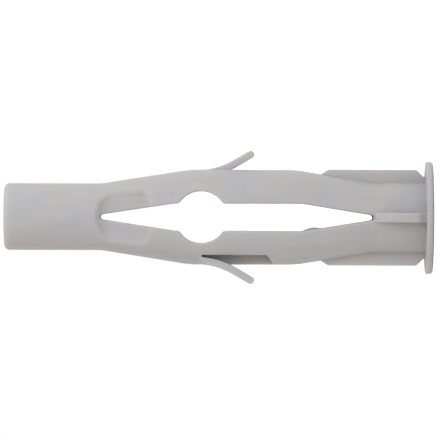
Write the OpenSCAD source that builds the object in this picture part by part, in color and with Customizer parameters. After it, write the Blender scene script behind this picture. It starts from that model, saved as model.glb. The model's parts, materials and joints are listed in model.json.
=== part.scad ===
// Expanding wall plug for an 8 mm hole, moulded in one piece from nylon.
// The origin is the centre of the collar's outer face, and +Z runs along the plug to its tip.
// The two legs spread along X. Apart from the gate mark, the plug looks the same after half a turn about Z.

/* [Whole plug] */
// Diameter of the hole that the plug is pushed into
hole_d = 8; // [7.6:0.1:10]
// Length from the collar's outer face to the end of the tip
plug_l = 51.3; // [50:0.1:60]
// Length of the solid tip past the legs
tip_l = 11.6; // [9:0.1:13]
// Rounding of the end of the tip
tip_round = 0.5; // [0.1:0.1:0.8]

/* [Collar and sleeve] */
// How far the collar stands out past the sleeve
collar_lip = 2.54; // [2:0.02:4]
// Thickness of the collar
collar_t = 0.8; // [0.7:0.05:1.4]
// Rounding of the rim on the collar's outer face
rim_round = 0.4; // [0.1:0.05:0.45]
// Rounding of the rim on the collar's wall side
seat_round = 0.15; // [0.05:0.05:0.2]
// How much larger the sleeve's radius is than the tip's
sleeve_fat = 0.22; // [0.12:0.02:0.5]
// Length from the collar's outer face to the end of the sleeve
sleeve_l = 7.1; // [6.8:0.1:8]

/* [Legs] */
// How far each leg bows outwards
bow = 1.73; // [1.4:0.01:2.1]
// How much smaller a leg's radius is than the tip's
leg_slim = 0.05; // [0.02:0.01:0.15]
// Length of a leg's slope next to the sleeve
spread_l = 10.6; // [9:0.1:12]
// Length of a leg's slope next to the tip
close_l = 10.9; // [9:0.1:12]
// Radius of a leg's bends, on its centre line
bend_r = 8; // [4:0.5:12]

/* [Gap between the legs] */
// Width of the gap between the straight stretches of the legs
gap_w = 3.28; // [3:0.02:3.6]
// Length over which the gap opens from the sleeve
gap_open_l = 8.4; // [7:0.1:9]
// Length over which the gap closes towards the tip
gap_close_l = 8.9; // [7:0.1:10]
// Radius of the gap's two round ends
gap_end_r = 0.33; // [0.2:0.01:0.5]

/* [Window] */
// Diameter of the round window through both legs
window_d = 6.1; // [5:0.1:6.4]
// Distance from the window's centre to the bend where the legs start to close
window_back = 1.2; // [0.6:0.1:2]

/* [Barbs] */
// Thickness of a barb
barb_t = 0.87; // [0.7:0.01:0.95]
// Width of a barb, from the middle plane of the plug
barb_w = 2.6; // [2:0.1:2.8]
// Angle at which a barb leaves the leg, in degrees
barb_start = 7; // [4:1:10]
// Angle between the barb's straight end and the leg, in degrees
barb_slope = 30; // [26:1:36]
// Radius of the barb's outer face where it curves away from the leg
barb_bend_r = 9; // [8:0.5:11]
// Length of the barb's straight end
barb_l = 2.6; // [1.5:0.1:3]
// Depth of the pocket that the barb folds into
pocket_d = 1.17; // [1.1:0.01:1.4]
// Length of the pocket's floor
pocket_l = 7.8; // [7:0.1:9]
// Length of the slope at the pocket's end
pocket_ramp_l = 0.75; // [0.4:0.05:1.2]

/* [Ribs] */
// Height of the ribs above the sleeve
rib_h = 1.53; // [1.2:0.01:1.8]
// Width of the ribs
rib_w = 1.1; // [0.8:0.1:1.6]
// Length from the collar's outer face to the tip end of the ribs on the legs
leg_rib_l = 13.4; // [12.5:0.1:15]
// Length of the slope at the tip end of the ribs on the legs
leg_rib_ramp_l = 0.9; // [0.7:0.1:2.5]
// Height of that slope
leg_rib_ramp_h = 0.58; // [0.5:0.02:0.8]
// Length of the slope at the tip end of the ribs between the legs
face_rib_ramp_l = 1.9; // [1:0.1:2.5]
// Height of the small step in which that slope ends above the legs
face_rib_step = 0.3; // [0.1:0.05:0.6]
// Size of the chamfer at the collar end of all the ribs
rib_chamfer = 0.8; // [0.6:0.05:1.1]
// Length of the low stretch between that chamfer and the collar
rib_foot_l = 0.3; // [0.1:0.05:0.6]

/* [Screw channel] */
// Diameter of the bore that the screw enters
bore_d = 5.2; // [4.4:0.1:5.6]
// Length of that bore, without the chamfer at its mouth
bore_l = 4.6; // [3:0.1:6]
// Size of the chamfer at the mouth of the bore
mouth_chamfer = 0.4; // [0.2:0.1:0.6]
// Length of the cone between the bore and the channel between the legs
throat_l = 2.1; // [1.5:0.1:5]
// Diameter of the channel at the end of that cone
channel_d = 3.2; // [3.1:0.05:3.25]
// Diameter of the pilot bore in the tip, which the thread bites into
pilot_d = 3; // [2.4:0.1:3]
// Diameter of the hole through the end of the tip
tip_hole_d = 2; // [1.2:0.1:2.2]
// Thickness of the tip's end wall round that hole
end_wall = 4; // [2:0.1:5]

/* [Recesses at the tip end of the gap] */
// Height of a recess across the legs
recess_h = 6.6; // [5.5:0.1:7]
// Length of a recess along the plug
recess_l = 6.2; // [5.5:0.1:7.5]
// Thickness left between the floors of the two recesses
recess_floor = 5.6; // [4.8:0.1:6.4]
// Radius of the two corners of a recess
recess_corner = 1.2; // [0.5:0.1:1.5]
// How far a recess reaches past the gap's end
recess_reach = 0.55; // [0.2:0.05:1.5]

/* [Gate mark] */
// Diameter of the mark that the mould's inlet leaves on one leg, at its foot
gate_d = 2.1; // [1:0.1:2.4]
// Diameter of its flat top
gate_top_d = 0.9; // [0.4:0.1:1]
// Height of the gate mark
gate_h = 0.25; // [0.1:0.05:0.4]
// Distance of the gate mark from the middle plane of the plug
gate_out = 2.2; // [1.6:0.1:2.4]
// Distance of the gate mark from the place where the gap is fully open
gate_back = 1; // [0.8:0.1:4]

/* [Hidden] */
$fn = 96;

// Overlap of a cutting shape past the surface that it cuts
over = 1;
// How far a leg's section reaches inside its centre line, where the gap trims it
leg_lap = 1;
// How much thicker a leg's bends are than its other stretches, and how far those run into a bend
bend_swell = 0.02;
bend_grip = 0.3;
// Length of the sleeve's taper down to the legs, and how far below their surface it ends
taper_l = 3;
taper_sink = 0.1;
// Length of the tip's cylinder that overlaps the legs
tip_lap = 1;
// Distance from the end of the sleeve back to where the legs' centre lines meet
leg_root = 1.05;
// Clearance between the barb's root and the end of its pocket
barb_clear = 0.3;
// Length of the barb's root inside the leg
barb_root_l = 0.9;
// How far a barb reaches past the middle plane, so that it is part of the whole leg
barb_lap = 0.05;
// How far below the leg's surface the cone that trims the barb's root starts, and its slope
trim_sink = 0.05;
trim_slope = 0.65;
// Radius of the rounding at a barb's end
barb_round = 0.34;
// How far the ribs start below the sleeve's surface, inside the walls that carry them
rib_sink = 0.9;
// Distance from the ribs between the legs to the end of the gap
rib_clear = 0.1;
// How deep the gate mark is sunk in the leg
gate_root = 0.4;
// Angle between the points of a small rounding's arc and of a barb's long curve, in degrees
arc_step = 15;
barb_step = 3;

tip_r = hole_d / 2;
leg_r = tip_r - leg_slim;
sleeve_r = tip_r + sleeve_fat;
collar_r = sleeve_r + collar_lip;
rib_r = sleeve_r + rib_h;
rib_foot_r = sleeve_r - rib_sink;
leg_out = bow + leg_r;

// Places along the plug, from the collar to the tip
spread_z = sleeve_l - leg_root;
straight_z = spread_z + spread_l;
tip_z = plug_l - tip_l;
close_z = tip_z - close_l;
window_z = close_z - window_back;
pocket_z = window_z;
gap_full_z = sleeve_l + gap_open_l;
bore_end_z = mouth_chamfer + bore_l;

// Points along an arc round a centre, from one angle to another, in degrees
function arc(centre, r, from, to, step = arc_step) =
    let (steps = max(2, ceil(abs(to - from) / step)))
    [for (i = [0 : steps])
        let (a = from + (to - from) * i / steps)
        [centre[0] + r * cos(a), centre[1] + r * sin(a)]];

// Slope of the line that leaves a circle of radius r and passes a point at distance l and height h
function tangent_angle(l, h, r) = atan2(h, l) - asin(r / sqrt(l * l + h * h));

// Turns a side view, drawn with Z upwards, into a slab that is w wide and centred on the middle plane
module slab(w) {
    rotate([90, 0, 0])
        linear_extrude(w, center = true)
            children();
}

// Repeats a shape on the other side of the plug, half a turn round
module both_sides() {
    for (turn = [0, 180])
        rotate([0, 0, turn])
            children();
}

// Collar and sleeve in one turned shape, with the sleeve's taper that sinks into the legs
module collar_and_sleeve() {
    taper_z = sleeve_l - taper_l / 2;
    rotate_extrude()
        polygon(concat(
            [[0, 0]],
            arc([collar_r - rim_round, rim_round], rim_round, -90, 0),
            arc([collar_r - seat_round, collar_t - seat_round], seat_round, 0, 90),
            [
                [sleeve_r, collar_t],
                [sleeve_r, taper_z],
                [leg_r - taper_sink, taper_z + taper_l],
                [0, taper_z + taper_l]
            ]
        ));
}

// Solid tip, which goes into the hole first
module tip() {
    rotate_extrude()
        polygon(concat(
            [[0, tip_z - tip_lap], [tip_r, tip_z - tip_lap]],
            arc([tip_r - tip_round, plug_l - tip_round], tip_round, 0, 90),
            [[0, plug_l]]
        ));
}

// Section of a leg about its centre line: a half-round that faces outwards
module leg_section(swell = 0) {
    intersection() {
        circle(r = leg_r + swell);
        translate([-leg_lap - swell, -2 * leg_r])
            square([leg_lap + swell + 2 * leg_r, 4 * leg_r]);
    }
}

// Length from a leg's corner to where the bend that rounds it starts, for a slope of this run
function bend_reach(run) = bend_r * tan(atan2(bow, run) / 2);

// One end of a leg: a slope that starts on the plug's axis, and the bend into the straight stretch
module leg_end(run) {
    slope = atan2(bow, run);
    rotate([0, slope, 0])
        linear_extrude(norm([run, bow]) - bend_reach(run) + bend_grip)
            leg_section();
    translate([bow - bend_r, 0, run + bend_reach(run)])
        rotate([90, 0, 0])
            rotate_extrude(angle = slope, start = -slope)
                translate([bend_r, 0])
                    leg_section(bend_swell);
}

// A leg: two sloping ends with a straight stretch between their bends
module leg() {
    straight_start = straight_z + bend_reach(spread_l) - bend_grip;
    straight_end = close_z - bend_reach(close_l) + bend_grip;
    translate([0, 0, spread_z])
        leg_end(spread_l);
    translate([bow, 0, straight_start])
        linear_extrude(straight_end - straight_start)
            leg_section();
    translate([0, 0, tip_z])
        mirror([0, 0, 1])
            leg_end(close_l);
}

// Side profile of one half of the gap, as an opening that grows from a round end at the origin
module gap_half(open_l, straight_l) {
    rise = tangent_angle(open_l - gap_end_r, gap_w / 2, gap_end_r);
    touch = [gap_end_r * cos(rise), gap_end_r - gap_end_r * sin(rise)];
    translate([0, gap_end_r])
        circle(r = gap_end_r);
    polygon([
        [touch[0], touch[1]],
        [gap_w / 2, open_l],
        [gap_w / 2, open_l + straight_l],
        [-gap_w / 2, open_l + straight_l],
        [-gap_w / 2, open_l],
        [-touch[0], touch[1]]
    ]);
}

// Gap between the legs with its two tapered ends, and the round window across it
module gap_and_window() {
    middle_z = (sleeve_l + tip_z) / 2;
    slab(2 * collar_r) {
        translate([0, sleeve_l])
            gap_half(gap_open_l, middle_z + over - sleeve_l - gap_open_l);
        translate([0, tip_z])
            mirror([0, 1])
                gap_half(gap_close_l, tip_z - middle_z - gap_close_l);
        translate([0, window_z])
            circle(d = window_d);
    }
}

// Rib seen from the side: chamfered at the collar and sloping down at its other end
module rib(end_z, ramp_l, ramp_h) {
    slab(rib_w)
        polygon([
            [rib_foot_r, collar_t / 2],
            [rib_r - rib_chamfer, collar_t / 2],
            [rib_r - rib_chamfer, collar_t + rib_foot_l],
            [rib_r, collar_t + rib_foot_l + rib_chamfer],
            [rib_r, end_z - ramp_l],
            [rib_r - ramp_h, end_z],
            [rib_foot_r, end_z]
        ]);
}

// Long ribs on the legs and short ones between them, which stop the plug from turning in its hole
module ribs() {
    both_sides() {
        rib(leg_rib_l, leg_rib_ramp_l, leg_rib_ramp_h);
        rotate([0, 0, 90])
            rib(sleeve_l - rib_clear, face_rib_ramp_l, rib_r - leg_r - face_rib_step);
    }
}

// Pocket in one half of a leg, from the middle plane outwards, that the barb folds into
module barb_pocket() {
    floor_x = leg_out - pocket_d;
    floor_end = pocket_z - pocket_l;
    top_x = leg_out + over;
    run = pocket_ramp_l * (top_x - floor_x) / pocket_d;
    translate([0, leg_r, 0])
        slab(2 * leg_r)
            polygon([
                [floor_x, pocket_z],
                [floor_x, floor_end],
                [top_x, floor_end - run],
                [top_x, pocket_z]
            ]);
}

// A point that lies a distance along a line from another point, at an angle in degrees
function step_from(point, l, angle) = point + l * [cos(angle), sin(angle)];

// Side profile of a barb: its root in the leg, the curve away from it and the straight, rounded end
module barb_profile() {
    outer_r = barb_bend_r;
    inner_r = barb_bend_r + barb_t;
    from = 180 + barb_start;
    to = 180 + barb_slope;
    centre = [leg_out, pocket_z - barb_clear] - step_from([0, 0], outer_r, from);
    // Directions along the barb towards its end, at the root and past the curve
    root_dir = from + 90;
    end_dir = to + 90;
    end_inner = step_from(step_from(centre, inner_r - barb_round, to), barb_l - barb_round, end_dir);
    end_outer = step_from(step_from(centre, outer_r + barb_round, to), barb_l - barb_round, end_dir);
    polygon(concat(
        [step_from(step_from(centre, outer_r, from), -barb_root_l, root_dir)],
        [step_from(step_from(centre, inner_r, from), -barb_root_l, root_dir)],
        arc(centre, inner_r, from, to, barb_step),
        arc(end_inner, barb_round, to, end_dir),
        arc(end_outer, barb_round, end_dir, end_dir + 90),
        arc(centre, outer_r, to, from, barb_step)
    ));
}

// Barb that curves away from the leg towards the collar
module barb() {
    trim_z = pocket_z - barb_clear + barb_root_l;
    intersection() {
        translate([0, (barb_w - barb_lap) / 2, 0])
            slab(barb_w + barb_lap)
                barb_profile();
        // The barb's root is trimmed by a cone, so that it grows out of the leg's round surface
        translate([bow, 0, trim_z])
            mirror([0, 0, 1])
                cylinder(
                    h = trim_z,
                    r1 = leg_r - trim_sink,
                    r2 = leg_r - trim_sink + trim_z * trim_slope
                );
    }
}

// Channel for the screw: a wide bore, a cone, a slow taper between the legs, and the pilot bore in the tip
module screw_channel() {
    bore_r = bore_d / 2;
    channel_r = channel_d / 2;
    pilot_r = pilot_d / 2;
    end_r = tip_hole_d / 2;
    pilot_end_z = plug_l - end_wall;
    rotate_extrude()
        polygon([
            [0, -over],
            [bore_r + mouth_chamfer + over, -over],
            [bore_r, mouth_chamfer],
            [bore_r, bore_end_z],
            [channel_r, bore_end_z + throat_l],
            [pilot_r, tip_z],
            [pilot_r, pilot_end_z - pilot_r + end_r],
            [end_r, pilot_end_z],
            [end_r, plug_l + over],
            [0, plug_l + over]
        ]);
}

// Flat-floored recess round the tip end of the gap: round towards the tip, square towards the collar
module recess() {
    half = recess_h / 2;
    round_z = tip_z + recess_reach - half;
    low_z = tip_z + recess_reach - recess_l;
    side = half - recess_corner;
    translate([0, recess_floor / 2 + leg_r, 0])
        slab(2 * leg_r)
            polygon(concat(
                arc([0, round_z], half, 0, 180),
                arc([-side, low_z + recess_corner], recess_corner, 180, 270),
                arc([side, low_z + recess_corner], recess_corner, 270, 360)
            ));
}

// Low round mark on the sloping inner face of one leg: a flat cone on a root inside the leg
module gate_mark() {
    slope = tangent_angle(gap_open_l - gap_end_r, gap_w / 2, gap_end_r);
    translate([-gap_w / 2 + gate_back * tan(slope), -gate_out, gap_full_z - gate_back])
        rotate([0, 90 - slope, 0])
            rotate_extrude()
                polygon([
                    [0, -gate_root],
                    [gate_d / 2, -gate_root],
                    [gate_d / 2, 0],
                    [gate_top_d / 2, gate_h],
                    [0, gate_h]
                ]);
}

module wall_plug() {
    color("silver") {
        difference() {
            union() {
                collar_and_sleeve();
                ribs();
                both_sides()
                    leg();
                tip();
            }
            gap_and_window();
            screw_channel();
            both_sides() {
                barb_pocket();
                recess();
            }
        }
        both_sides()
            barb();
        gate_mark();
    }
}

wall_plug();
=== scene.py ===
import json
import math

import bpy
import numpy as np
from mathutils import Matrix, Vector


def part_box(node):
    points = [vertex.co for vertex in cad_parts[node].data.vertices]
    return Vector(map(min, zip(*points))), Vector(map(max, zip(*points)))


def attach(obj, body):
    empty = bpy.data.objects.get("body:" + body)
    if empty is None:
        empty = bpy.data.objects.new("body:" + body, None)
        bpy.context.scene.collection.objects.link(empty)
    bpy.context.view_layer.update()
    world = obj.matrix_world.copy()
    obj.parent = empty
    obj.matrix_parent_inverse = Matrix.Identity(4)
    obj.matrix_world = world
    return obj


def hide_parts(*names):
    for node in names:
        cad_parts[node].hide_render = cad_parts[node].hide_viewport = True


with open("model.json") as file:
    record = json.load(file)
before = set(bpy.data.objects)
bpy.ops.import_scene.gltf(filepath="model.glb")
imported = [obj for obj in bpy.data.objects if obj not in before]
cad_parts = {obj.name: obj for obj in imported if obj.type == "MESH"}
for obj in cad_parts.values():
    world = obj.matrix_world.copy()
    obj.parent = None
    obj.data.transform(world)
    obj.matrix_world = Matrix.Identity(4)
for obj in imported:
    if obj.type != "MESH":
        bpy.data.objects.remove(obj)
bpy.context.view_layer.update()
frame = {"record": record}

scene = bpy.context.scene
scene.view_settings.view_transform = "Standard"

# Camera
# It looks at the plug square from the side, from so far that the picture is almost a parallel one.
# The plug stands on its collar, and the camera lies on its side, so the collar is at the right.
camera_distance = 0.600
# The middle of the picture, and its width, at the plug's axis
camera_aim = Vector((-0.000324, 0.0, 0.02545))
field_width = 0.0528
# How far the plug's axis drops towards the right of the picture, in degrees
axis_drop = 0.197


def add_camera():
    """Camera that looks along +Y with the plug's +X upwards, turned by the small drop of the axis."""
    data = bpy.data.cameras.new("camera")
    data.sensor_width = 36.0
    data.lens = data.sensor_width * camera_distance / field_width
    data.clip_start = 0.01
    data.clip_end = 20.0
    camera = bpy.data.objects.new("camera", data)
    drop = math.radians(axis_drop)
    right = Vector((math.sin(drop), 0.0, -math.cos(drop)))
    up = Vector((math.cos(drop), 0.0, math.sin(drop)))
    back = Vector((0.0, -1.0, 0.0))
    place = camera_aim + back * camera_distance
    camera.matrix_world = Matrix.Translation(place) @ Matrix((right, up, back)).transposed().to_4x4()
    scene.collection.objects.link(camera)
    scene.camera = camera


add_camera()


# Floor and light
# A plain white sheet under the plug, an even warm sky with a glow above and behind it, and a small cool soft
# box in front, near the tip. The eye sees sheet and sky as white, while the plug is lit at a plain level.
floor_size = 8.0
floor_white = "#F4F4F4"
# Light that the floor seems to give, for the eye only
floor_lift = 0.45
white = "#FFFFFF"
sky_tint = "#FFF9F4"
sky_level = 0.725
# The glow is above the plug and behind it, and fades with the angle from there
glow_way = Vector((0.75, 0.63, 0.18))
glow_level = 0.72
glow_narrow = 5.0
lamp_place = Vector((0.06, -0.10, 0.13))
lamp_size = 0.08
lamp_power = 0.092
lamp_tint = "#E1ECFF"


def linear(hex_colour):
    """Linear colour with full alpha of an sRGB hex value such as '#B9B6B5'."""
    parts = [int(hex_colour[i:i + 2], 16) / 255 for i in (1, 3, 5)]
    lin = [c / 12.92 if c <= 0.04045 else ((c + 0.055) / 1.055) ** 2.4 for c in parts]
    return (*lin, 1.0)


def add(tree, kind, inputs=None, **settings):
    """Adds one node. Settings are its properties. Inputs are the values of its sockets, or the sockets that
    feed them, by name, or by number where names repeat."""
    node = tree.nodes.new(kind)
    for name, value in settings.items():
        setattr(node, name, value)
    for name, value in (inputs or {}).items():
        if isinstance(value, bpy.types.NodeSocket):
            tree.links.new(value, node.inputs[name])
        else:
            node.inputs[name].default_value = value
    return node


def seen_directly(tree):
    """1 for rays from the camera, from a mirror or through glass, and 0 for the rays that light the plug."""
    path = add(tree, "ShaderNodeLightPath")
    either = add(tree, "ShaderNodeMath", {
        0: path.outputs["Is Camera Ray"], 1: path.outputs["Is Glossy Ray"]}, operation="MAXIMUM")
    any_of = add(tree, "ShaderNodeMath", {
        0: either.outputs[0], 1: path.outputs["Is Transmission Ray"]}, operation="MAXIMUM")
    return any_of.outputs[0]


def add_sky():
    """Even sky with one soft glow: sky_level + glow_level * cos(angle to the glow) ** glow_narrow. The eye
    sees it plain white."""
    world = bpy.data.worlds.new("sky")
    world.use_nodes = True
    scene.world = world
    tree = world.node_tree
    tree.nodes.clear()
    way = add(tree, "ShaderNodeTexCoord").outputs["Generated"]
    towards = add(tree, "ShaderNodeVectorMath", {0: way, 1: glow_way.normalized()}, operation="DOT_PRODUCT")
    half = add(tree, "ShaderNodeMath", {0: towards.outputs["Value"], 1: 0.0}, operation="MAXIMUM")
    glow = add(tree, "ShaderNodeMath", {0: half.outputs[0], 1: glow_narrow}, operation="POWER")
    level = add(tree, "ShaderNodeMath", {
        0: glow.outputs[0], 1: glow_level, 2: sky_level}, operation="MULTIPLY_ADD")
    light = add(tree, "ShaderNodeBackground", {"Color": linear(sky_tint), "Strength": level.outputs[0]})
    shown = add(tree, "ShaderNodeBackground", {"Color": linear(white), "Strength": 1.0})
    mix = add(tree, "ShaderNodeMixShader", {
        0: seen_directly(tree), 1: light.outputs[0], 2: shown.outputs[0]})
    add(tree, "ShaderNodeOutputWorld", {"Surface": mix.outputs[0]})


def add_floor():
    """White sheet at the level of the collar's face. The eye sees it lifted to white, but for the shadow that
    the plug throws close to its foot."""
    half = floor_size / 2
    corners = [(-half, -half, 0), (half, -half, 0), (half, half, 0), (-half, half, 0)]
    mesh = bpy.data.meshes.new("floor")
    mesh.from_pydata(corners, [], [(0, 1, 2, 3)])
    floor = bpy.data.objects.new("floor", mesh)
    scene.collection.objects.link(floor)
    material = bpy.data.materials.new("white_card")
    material.use_nodes = True
    tree = material.node_tree
    tree.nodes.clear()
    card = add(tree, "ShaderNodeBsdfDiffuse", {"Color": linear(floor_white)})
    glow = add(tree, "ShaderNodeEmission", {"Color": linear(white), "Strength": floor_lift})
    lifted = add(tree, "ShaderNodeAddShader", {0: card.outputs[0], 1: glow.outputs[0]})
    mix = add(tree, "ShaderNodeMixShader", {
        0: seen_directly(tree), 1: card.outputs[0], 2: lifted.outputs[0]})
    add(tree, "ShaderNodeOutputMaterial", {"Surface": mix.outputs[0]})
    mesh.materials.append(material)


def add_lamp():
    """Small square soft box that shines at the middle of the plug."""
    data = bpy.data.lights.new("soft_box", "AREA")
    data.shape = "SQUARE"
    data.size = lamp_size
    data.energy = lamp_power
    data.color = linear(lamp_tint)[:3]
    lamp = bpy.data.objects.new("soft_box", data)
    lamp.location = lamp_place
    lamp.rotation_euler = (camera_aim - lamp_place).to_track_quat("-Z", "Y").to_euler()
    scene.collection.objects.link(lamp)


add_sky()
add_floor()
add_lamp()


# Collar and sleeve
# A thin round collar that stops the plug at the wall, on a short tube that the screw enters. Both are
# moulded with the rest in grey nylon. All sizes from here on are in millimetres.
MM = 1000.0
low_corner, high_corner = (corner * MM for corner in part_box("wall_plug"))
mounts = {mount["name"]: mount for mount in frame["record"]["mounts"]}
plug_l = high_corner.z
tip_r = mounts["tip_shank"]["dims"]["r_mm"]
sleeve_fat = 0.22
sleeve_r = tip_r + sleeve_fat
sleeve_l = 7.1
# Along this stretch the sleeve shrinks into the legs, to a little below their surface
taper_start = 5.4
taper_l = 3.6
taper_sink = 0.1
collar_r = high_corner.y
collar_t = 0.8
rim_round = 0.4
seat_round = 0.15
collar_fillet = 0.12


def joined(a, b, fillet=0.0):
    """Union of two shapes, with a fillet where they meet: the lesser distance, and where both are under the
    fillet's radius, that radius less the hypotenuse of what each of them is short of it."""
    near = np.maximum(fillet, np.minimum(a, b))
    return near - np.hypot(np.maximum(fillet - a, 0), np.maximum(fillet - b, 0))


def cut(body, hole, rounding=0.0):
    """Body less a hole whose edges are rounded: the union of hole and outside, turned inside out."""
    return -joined(-body, hole, rounding)


def common(a, b, rounding=0.0):
    """What lies in both shapes, with the edge rounded: the union of both outsides, turned inside out."""
    return -joined(-a, -b, rounding)


def rounded_box(u, v, half_u, half_v, corner):
    """Distance to a rectangle round the origin: the hypotenuse of what is over each half, less the radius
    of its round corners."""
    over_u = np.abs(u) - (half_u - corner)
    over_v = np.abs(v) - (half_v - corner)
    outside = np.hypot(np.maximum(over_u, 0), np.maximum(over_v, 0))
    return outside + np.minimum(np.maximum(over_u, over_v), 0) - corner


def collar_and_sleeve(r, z):
    """Turned shape: a disc with two round rims, and a tube that shrinks into the legs along the smooth step
    s * s * (3 - 2 * s)."""
    corner = np.where(z < collar_t / 2, rim_round, seat_round)
    collar = rounded_box(r, z - collar_t / 2, collar_r, collar_t / 2, corner)
    step = np.clip((z - taper_start) / taper_l, 0, 1)
    tube_r = sleeve_r - (sleeve_fat + taper_sink) * step * step * (3 - 2 * step)
    tube = np.maximum(r - tube_r, np.maximum(collar_t / 2 - z, z - taper_start - taper_l))
    return joined(collar, tube, collar_fillet)


# Ribs
# Four thin ribs stop the plug from turning in its hole: two long ones on the legs and two short ones
# between them. They start in a chamfer at the collar and slope down at their other end.
rib_h = 1.53
rib_r = sleeve_r + rib_h
rib_w = 1.1
rib_foot_l = 0.3
rib_root_r = tip_r - 0.7
# A ramp is the run and the drop of the slope at the rib's far end
leg_rib = {"end": 13.4, "ramp": (0.9, 0.58), "chamfer": 0.8, "rounding": 0.08}
face_rib = {"end": 7.0, "ramp": (1.9, 1.5), "chamfer": 0.5, "rounding": 0.5}
rib_edge = 0.11
rib_end_edge = 0.08
rib_foot_fillet = 0.05
rib_fillet = 0.04


def rib(out, side, z, end, ramp, chamfer, rounding):
    """Plate across the sleeve between straight lines: out is the distance from the axis, and side the one
    from the plate's middle. The rounding is that of its chamfered corner."""
    corner = (out - z - rib_r + collar_t + rib_foot_l + chamfer) / math.sqrt(2)
    slope = ((out - rib_r) * ramp[0] + (z - end + ramp[0]) * ramp[1]) / math.hypot(*ramp)
    foot = np.maximum(out - rib_r + chamfer, z - collar_t - rib_foot_l)
    top = common(common(out - rib_r, corner, rounding), slope, rib_end_edge)
    profile = common(joined(top, foot, rib_foot_fillet), z - end, rib_end_edge)
    profile = np.maximum(profile, np.maximum(collar_t / 2 - z, rib_root_r - out))
    return common(profile, np.abs(side) - rib_w / 2, rib_edge)


# Legs and tip
# The solid tip enters the hole first. Two round rods run from it to the sleeve and bow apart on the way,
# each with a bend at the end of its two slopes. The screw pulls the tip back and folds them outwards.
# Each rod's centre line moves out by bow over the spread's length, and back by it over the closing length
bow = 1.73
leg_slim = 0.05
leg_r = tip_r - leg_slim
leg_start = 6.05
leg_lap = 0.5
leg_fillet = {"sleeve": 0.12, "tip": 0.03}
spread_l = 10.6
close_l = 10.9
bend_r = 8.0
tip_l = 11.6
tip_z = plug_l - tip_l
tip_lap = 1.0
tip_round = 0.6
leg_out = bow + leg_r
middle_z = (sleeve_l + tip_z) / 2


def centre_line(x, z, run):
    """Distance across the line that rises by bow over this run, then bends on an arc and goes straight on."""
    slope = math.atan2(bow, run)
    centre_x = bow - bend_r
    centre_z = run + bend_r * math.tan(slope / 2)
    on_slope = x * math.cos(slope) - z * math.sin(slope)
    on_bend = np.hypot(x - centre_x, z - centre_z) - bend_r
    before = (z - centre_z) * math.cos(slope) + (x - centre_x) * math.sin(slope) < 0
    return np.where(before, on_slope, np.where(z > centre_z, x - bow, on_bend))


def leg(x, y, z):
    """Round rod: the hypotenuse of y and the distance across the centre line, less the rod's radius. Both
    ends are inside its neighbours. Its half with x over 0 is the +X leg."""
    spread = centre_line(x, z - leg_start, spread_l)
    close = centre_line(x, tip_z - z, close_l)
    across = np.where(z < middle_z, spread, close)
    past_end = np.maximum(leg_start - leg_lap - z, z - tip_z - leg_lap)
    return np.maximum(np.hypot(across, y) - leg_r, past_end)


def tip(r, z):
    """Round bar with a rounded end: a rectangle with round corners, turned about the axis."""
    half = (tip_l + tip_lap) / 2
    return np.maximum(rounded_box(r, z - plug_l + half, tip_r, half, tip_round), tip_z - tip_lap - z)


# Gap, window and recesses
# The core of the mould leaves a long gap between the legs, pointed at both ends, and a round window that
# weakens them where they fold. Round the tip end of the gap both faces have a flat-floored recess.
# The gap opens to its width over the first length and closes over the second
gap_w = 3.28
gap_open_l = 8.4
gap_close_l = 8.9
gap_end_r = 0.33
gap_end = tip_z + 0.1
gap_edge = {"sleeve": 0.3, "legs": 0.18}
gap_edge_l = 3.0
window_z = 27.72
window_r = 3.12
window_corner = 0.25
recess_half = 3.45
recess_end = tip_z + 0.95
recess_l = 6.6
# From the middle plane to the recess's floor
recess_floor = 2.8
recess_corner = 1.2
recess_fillet = 1.0
recess_ramp_r = 2.4
recess_ramp_over = 0.1
recess_edge = 0.45


def gap_angle(open_l):
    """Slope of the gap's side, which reaches full width at this length and touches the round end: the angle
    to the end's centre, less the one by which the end's radius is seen from there."""
    run = open_l - gap_end_r
    return math.atan2(gap_w / 2, run) - math.asin(gap_end_r / math.hypot(run, gap_w / 2))


def gap_half(x, z, open_l):
    """Wedge with a round point: the distance to a wedge from the centre of that point, less its radius."""
    angle = gap_angle(open_l)
    ahead = z - gap_end_r
    side = np.abs(x) * math.cos(angle) - ahead * math.sin(angle)
    behind = np.abs(x) * math.sin(angle) + ahead * math.cos(angle) < 0
    wedge = np.where(behind, np.hypot(x, ahead), side) - gap_end_r
    return np.maximum(wedge, np.abs(x) - gap_w / 2)


def gap_and_window(x, z):
    """Both halves of the gap, and the round window across it, with the corners between them rounded."""
    opening = gap_half(x, z - sleeve_l, gap_open_l)
    closing = gap_half(x, gap_end - z, gap_close_l)
    gap = np.where(z < middle_z, opening, closing)
    return joined(gap, np.hypot(x, z - window_z) - window_r, window_corner)


def recess(x, y, z):
    """Hollow in both faces: its outline is a half circle towards the tip, and a square with round corners
    behind it."""
    round_z = recess_end - recess_half
    over_x = np.abs(x) - (recess_half - recess_corner)
    over_z = recess_end - recess_l + recess_corner - z
    square = np.hypot(np.maximum(over_x, 0), np.maximum(over_z, 0)) - recess_corner
    square = square + np.minimum(np.maximum(over_x, over_z), 0)
    outline = np.where(z > round_z, np.hypot(x, z - round_z) - recess_half, square)
    # The floor rises towards the tip on a large arc, and into the other sides on a smaller one
    ramp_end = recess_end + recess_ramp_over
    floor = common(z - ramp_end, recess_floor - np.abs(y), recess_ramp_r)
    return common(outline, floor, recess_fillet)


# Screw channel
# A wide bore behind the collar narrows to a channel between the legs and to the pilot bore in the tip,
# which the thread bites into. A smaller hole leads out through the tip.
bore_r = mounts["screw_bore"]["dims"]["r_mm"]
pilot_r = mounts["tip_pilot"]["dims"]["r_mm"]
tip_hole_r = 1.0
mouth_chamfer = 0.4
bore_end = 5.0
throat_end = 7.1
throat_r = pilot_r + 0.1
end_wall = 4.0
pilot_end = plug_l - end_wall
channel_edge = 0.08


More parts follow.
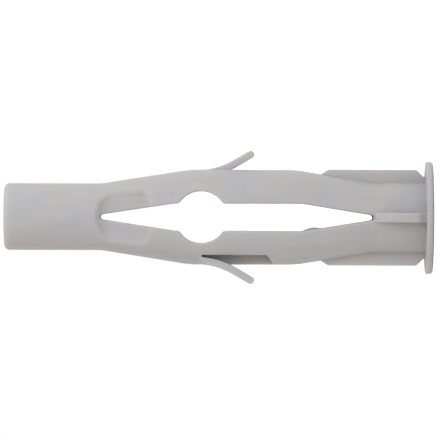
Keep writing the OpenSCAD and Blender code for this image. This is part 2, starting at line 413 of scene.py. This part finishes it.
def screw_channel(r, z):
    """Distance to a turned hole whose radius changes in straight lines between these places."""
    mouth_r = bore_r + mouth_chamfer
    cone_start = pilot_end - pilot_r + tip_hole_r
    places = [-1, 0, mouth_chamfer, bore_end, throat_end, tip_z, cone_start, pilot_end]
    radii = [mouth_r, mouth_r, bore_r, bore_r, throat_r, pilot_r, pilot_r, tip_hole_r]
    return r - np.interp(z, places, radii)


# Barbs and their pockets
# On each leg a thin barb grows out of the round surface, curves away and ends straight. It digs into the
# wall when the plug is pulled, and folds into the pocket beside it when the plug is pushed in.
barb_t = 0.87
barb_w = 2.6
# Its slope to the plug's axis, at its root and at its end
barb_start = math.radians(7)
barb_slope = math.radians(30)
barb_bend_r = 9.0
barb_l = 2.6
barb_root_l = 0.9
barb_trim = 0.65
barb_lap = 0.05
barb_round = 0.34
barb_edge = 0.1
barb_root_edge = 0.08
barb_fillet = 0.07
barb_z = 27.3
pocket_z = 27.6
pocket_d = 1.17
pocket_l = 7.8
pocket_ramp_l = 0.75
pocket_lean = 0.25
pocket_ramp_fillet = 0.15
pocket_end_fillet = 0.05
pocket_wall_fillet = 0.08
pocket_edge = 0.1


def barb(x, y, z):
    """Strip of even thickness: s runs along its arc and the straight ends, and t across it."""
    ahead_x = leg_out + barb_bend_r * math.cos(barb_start) - x
    ahead_z = barb_z + barb_bend_r * math.sin(barb_start) - z
    mid_r = barb_bend_r + barb_t / 2
    bend_l = mid_r * (barb_slope - barb_start)
    angle = np.arctan2(ahead_z, ahead_x)
    s = mid_r * (angle - barb_start)
    t = np.hypot(ahead_x, ahead_z) - mid_r
    before = angle < barb_start
    after = angle > barb_slope
    for past, end, end_s in ((before, barb_start, 0), (after, barb_slope, bend_l)):
        s = np.where(past, end_s + ahead_z * math.cos(end) - ahead_x * math.sin(end), s)
        t = np.where(past, ahead_x * math.cos(end) + ahead_z * math.sin(end) - mid_r, t)
    half_l = (bend_l + barb_l + barb_root_l) / 2
    strip = rounded_box(s + barb_root_l - half_l, t, half_l, barb_t / 2, barb_round)
    strip = common(strip, np.abs(y - barb_w / 2) - barb_w / 2, barb_edge)
    # The root is trimmed by a cone, so that it grows out of the leg's round surface
    grown = leg_r - barb_lap + (barb_z + barb_root_l - z) * barb_trim
    return common(strip, (np.hypot(x - bow, y) - grown) / math.hypot(1, barb_trim), barb_root_edge)


def pocket(x, y, z):
    """Slot between straight lines: a floor, a slope at its end towards the collar, a plain end towards the
    tip, and a wall near the middle plane that leans outwards."""
    floor_x = leg_out - pocket_d
    lean = pocket_ramp_l / pocket_d
    ramp = (pocket_z - pocket_l - z - (x - floor_x) * lean) / math.hypot(1, lean)
    profile = common(common(floor_x - x, ramp, pocket_ramp_fillet), z - pocket_z, pocket_end_fillet)
    wall = ((x - floor_x) * pocket_lean - y) / math.hypot(1, pocket_lean)
    return common(profile, wall, pocket_wall_fillet)


# Gate mark
# The mould's inlet was broken off here and left a low round stub on the sloping side of one leg.
# From the middle plane, and back from where the gap reaches its width
gate_out = 2.2
gate_back = 1.0
gate_h = 0.25
gate_foot = 1.05
gate_top = 0.45
gate_edge = 0.1
gate_fillet = 0.2


def gate_mark(x, y, z):
    """Low cone, square to the slope of the gap's side on the -X leg: its radius shrinks evenly with the
    height over that side."""
    angle = gap_angle(gap_open_l)
    from_x = x + gap_w / 2 - gate_back * math.tan(angle)
    from_z = z - (sleeve_l + gap_open_l - gate_back)
    height = from_x * math.cos(angle) + from_z * math.sin(angle)
    along = from_z * math.cos(angle) - from_x * math.sin(angle)
    lean = (gate_foot - gate_top) / gate_h
    side = (np.hypot(along, y + gate_out) - gate_foot + height * lean) / math.hypot(1, lean)
    return common(side, np.abs(height) - gate_h, gate_edge)


# The moulding
# All of this is one piece of nylon with no seam, so its surface is worked out as one: a distance that is
# negative inside the plug, whose edges are round and whose corners have the fillets of a mould.
warm_grey = "#BCB9B6"
cool_grey = "#B6B7B9"
# The grid only finds the surface. Its points then move onto the exact one
grid_step = 0.085
layers_at_once = 16
most_triangles = 190000
nudge = 0.004


def plug(x, y, z):
    """Distance to the plug's surface, joined and cut part by part. The plug is the same after half a turn,
    apart from the gate mark, so a leg's parts are worked out for the +X leg: u is out from the axis towards
    the nearer leg, and v turns with it."""
    u, v = np.abs(x), np.copysign(1, x) * y
    r = np.hypot(x, y)
    body = np.minimum(collar_and_sleeve(r, z), tip(r, z))
    body = joined(body, leg(u, v, z), np.where(z < middle_z, leg_fillet["sleeve"], leg_fillet["tip"]))
    body = joined(body, rib(u, v, z, **leg_rib), rib_fillet)
    body = joined(body, rib(np.abs(y), x, z, **face_rib), rib_fillet)
    body = cut(body, recess(x, y, z), recess_edge)
    edge = np.interp(z, (sleeve_l, sleeve_l + gap_edge_l), (gap_edge["sleeve"], gap_edge["legs"]))
    body = cut(body, gap_and_window(x, z), edge)
    body = cut(body, pocket(u, v, z), pocket_edge)
    body = joined(body, barb(u, v, z), barb_fillet)
    body = joined(body, gate_mark(x, y, z), gate_fillet)
    return cut(body, screw_channel(r, z), channel_edge)


def sampled(low, counts, step):
    """The plug's distance at every point of a grid, worked out a few layers at a time."""
    x, y, z = ((low[i] + step * np.arange(counts[i])).astype(np.float32) for i in range(3))
    starts = range(0, counts[2], layers_at_once)
    slabs = [z[None, None, k:k + layers_at_once] for k in starts]
    fields = [plug(x[:, None, None], y[None, :, None], slab) for slab in slabs]
    return np.concatenate(fields, axis=2).astype(np.float32)


def surface_net(field, low, step):
    """Mesh of the zero surface of a field on a grid. Each cell that the surface crosses gets one point, the
    mean of the crossings on its edges. Each grid edge that it crosses gets one face between four cells."""
    inside = field < 0
    shape = np.array(field.shape)
    crossings = []
    quads = []
    for axis in range(3):
        ahead = np.eye(3, dtype=int)[axis]
        here = tuple(slice(0, n - a) for n, a in zip(shape, ahead))
        there = tuple(slice(a, None) for a in ahead)
        spot = np.argwhere(inside[here] != inside[there])
        far = spot + ahead
        a, b = field[tuple(spot.T)], field[tuple(far.T)]
        crossing = spot + ahead * (a / (a - b))[:, None]
        one, two = np.roll(ahead, 1), np.roll(ahead, 2)
        corners = [spot - one - two, spot - two, spot, spot - one]
        cells = np.stack([np.ravel_multi_index(tuple(c.T), shape) for c in corners], axis=1)
        flipped = (a > b)[:, None]
        quads.append(np.where(flipped, cells[:, ::-1], cells))
        crossings.append(np.repeat(crossing, 4, axis=0))
    quads = np.concatenate(quads)
    # A crossing counts the same for all four cells of its face, so their order in the face doesn't matter
    crossings = np.concatenate(crossings)
    number = np.unique(quads, return_inverse=True)[1].reshape(-1)
    count = np.bincount(number)
    mean = np.stack([np.bincount(number, c) for c in crossings.T], axis=1) / count[:, None]
    return low + step * mean, number.reshape(quads.shape)


def slope_at(points):
    """How the plug's distance changes along X, Y and Z at each point: the difference between a nudge ahead
    and a nudge back, over their distance."""
    shifts = nudge * np.eye(3)
    return np.stack([plug(*(points + s).T) - plug(*(points - s).T) for s in shifts], axis=1) / (2 * nudge)


def settled(points, reach):
    """Points moved onto the surface, in three steps of at most this reach: each step goes against the slope
    by the distance over the slope's square, which counts as a quarter at least."""
    slope = slope_at(points)
    slope /= np.maximum((slope ** 2).sum(axis=1), 0.25)[:, None]
    for _ in range(3):
        points = points - slope * np.clip(plug(*points.T), -reach, reach)[:, None]
    return points


def add_plug():
    """The whole plug as one mesh: sampled, meshed, thinned where it is flat, and settled on its surface."""
    low = np.array(low_corner) - 2 * grid_step
    high = np.array(high_corner) + 2 * grid_step
    counts = np.ceil((high - low) / grid_step).astype(int) + 1
    points, quads = surface_net(sampled(low, counts, grid_step), low, grid_step)
    points = settled(points, grid_step / 2)
    dense = bpy.data.meshes.new("dense_plug")
    dense.from_pydata(points / MM, [], quads)
    piece = bpy.data.objects.new("moulded_plug", dense)
    scene.collection.objects.link(piece)
    thin = piece.modifiers.new("thin", "DECIMATE")
    thin.ratio = min(1.0, most_triangles / (2 * len(quads)))
    thin.use_collapse_triangulate = True
    thinned = piece.evaluated_get(bpy.context.evaluated_depsgraph_get())
    mesh = bpy.data.meshes.new_from_object(thinned)
    piece.data = mesh
    piece.modifiers.clear()
    bpy.data.meshes.remove(dense)
    flat = np.zeros(3 * len(mesh.vertices))
    mesh.vertices.foreach_get("co", flat)
    points = settled(flat.reshape(-1, 3) * MM, grid_step / 4)
    mesh.vertices.foreach_set("co", (points / MM).ravel())
    mesh.shade_smooth()
    # The shading follows the exact surface as well
    normals = slope_at(points)
    normals /= np.linalg.norm(normals, axis=1)[:, None]
    mesh.normals_split_custom_set_from_vertices(normals)
    mesh.name = "moulded_plug"
    return piece


def moulded_nylon():
    """Grey nylon as moulded: satin, a little translucent and cloudy, with the grain of an eroded mould."""
    material = bpy.data.materials.new("moulded_nylon")
    material.use_nodes = True
    tree = material.node_tree
    tree.nodes.clear()
    where = add(tree, "ShaderNodeTexCoord").outputs["Object"]
    place = add(tree, "ShaderNodeVectorMath", {0: where, "Scale": MM}, operation="SCALE").outputs[0]

    # The melt isn't mixed evenly: warmer and cooler clouds, 4 mm across, with softer ones of 1 mm in them
    cloud = add(tree, "ShaderNodeTexNoise", {
        "Vector": place, "Scale": 0.25, "Detail": 3.0, "Roughness": 0.45})
    patch = add(tree, "ShaderNodeMapRange", {"Value": cloud.outputs[0], "From Min": 0.3, "From Max": 0.7})
    tint = add(tree, "ShaderNodeMix", {
        0: patch.outputs[0], 6: linear(warm_grey), 7: linear(cool_grey)}, data_type="RGBA").outputs[2]
    # Flow marks: streaks 1 mm wide that run along the plug, where the melt slid past the cold mould
    drawn_out = add(tree, "ShaderNodeVectorMath", {0: place, 1: (1.0, 1.0, 0.12)}, operation="MULTIPLY")
    flow = add(tree, "ShaderNodeTexNoise", {
        "Vector": drawn_out.outputs[0], "Scale": 1.0, "Detail": 2.0, "Distortion": 0.6})
    streak = add(tree, "ShaderNodeMapRange", {
        "Value": flow.outputs[0], "From Min": 0.35, "From Max": 0.7, "To Min": 0.976, "To Max": 1.015})
    colour = add(tree, "ShaderNodeVectorMath", {0: tint, "Scale": streak.outputs[0]}, operation="SCALE")

    # Grain of the eroded mould. The real one is 0.05 mm, too fine for the picture, so it is drawn at 0.3 mm
    grain = add(tree, "ShaderNodeTexNoise", {"Vector": place, "Scale": 3.3, "Detail": 4.0, "Roughness": 0.6})
    # Sink marks: very shallow waves, 2 mm long, where the thick parts shrank
    sink = add(tree, "ShaderNodeTexNoise", {"Vector": place, "Scale": 0.5, "Detail": 1.0})
    # Parting line of the two mould halves: a hairline ridge on the plug's middle plane
    side = add(tree, "ShaderNodeSeparateXYZ", {0: place}).outputs["Y"]
    apart = add(tree, "ShaderNodeMath", {0: side}, operation="ABSOLUTE").outputs[0]
    seam = add(tree, "ShaderNodeMapRange", {"Value": apart, "From Max": 0.07, "To Min": 1.0, "To Max": 0.0})
    grained = add(tree, "ShaderNodeBump", {
        "Height": grain.outputs[0], "Distance": 0.012 / MM, "Strength": 0.6})
    sunk = add(tree, "ShaderNodeBump", {
        "Height": sink.outputs[0], "Distance": 0.08 / MM, "Strength": 0.5, "Normal": grained.outputs[0]})
    seamed = add(tree, "ShaderNodeBump", {
        "Height": seam.outputs[0], "Distance": 0.02 / MM, "Strength": 0.8, "Normal": sunk.outputs[0]})

    # The gloss is uneven too: the grain is worn smoother in patches of the mould
    gloss = add(tree, "ShaderNodeTexNoise", {"Vector": place, "Scale": 0.8, "Detail": 3.0})
    rough = add(tree, "ShaderNodeMapRange", {
        "Value": gloss.outputs[0], "From Min": 0.3, "From Max": 0.7, "To Min": 0.55, "To Max": 0.68})
    # Light goes about 3 mm into the nylon, red the furthest, which softens the shade in its corners
    shader = add(tree, "ShaderNodeBsdfPrincipled", {
        "Base Color": colour.outputs[0], "Roughness": rough.outputs[0], "Normal": seamed.outputs[0],
        "IOR": 1.53, "Specular IOR Level": 0.25,
        "Subsurface Weight": 0.35, "Subsurface Scale": 3.0 / MM, "Subsurface Radius": (1.0, 0.8, 0.6)})
    add(tree, "ShaderNodeOutputMaterial", {"Surface": shader.outputs[0]})
    return material


moulding = add_plug()
moulding.data.materials.clear()
moulding.data.materials.append(moulded_nylon())
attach(moulding, "root")
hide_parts("wall_plug")
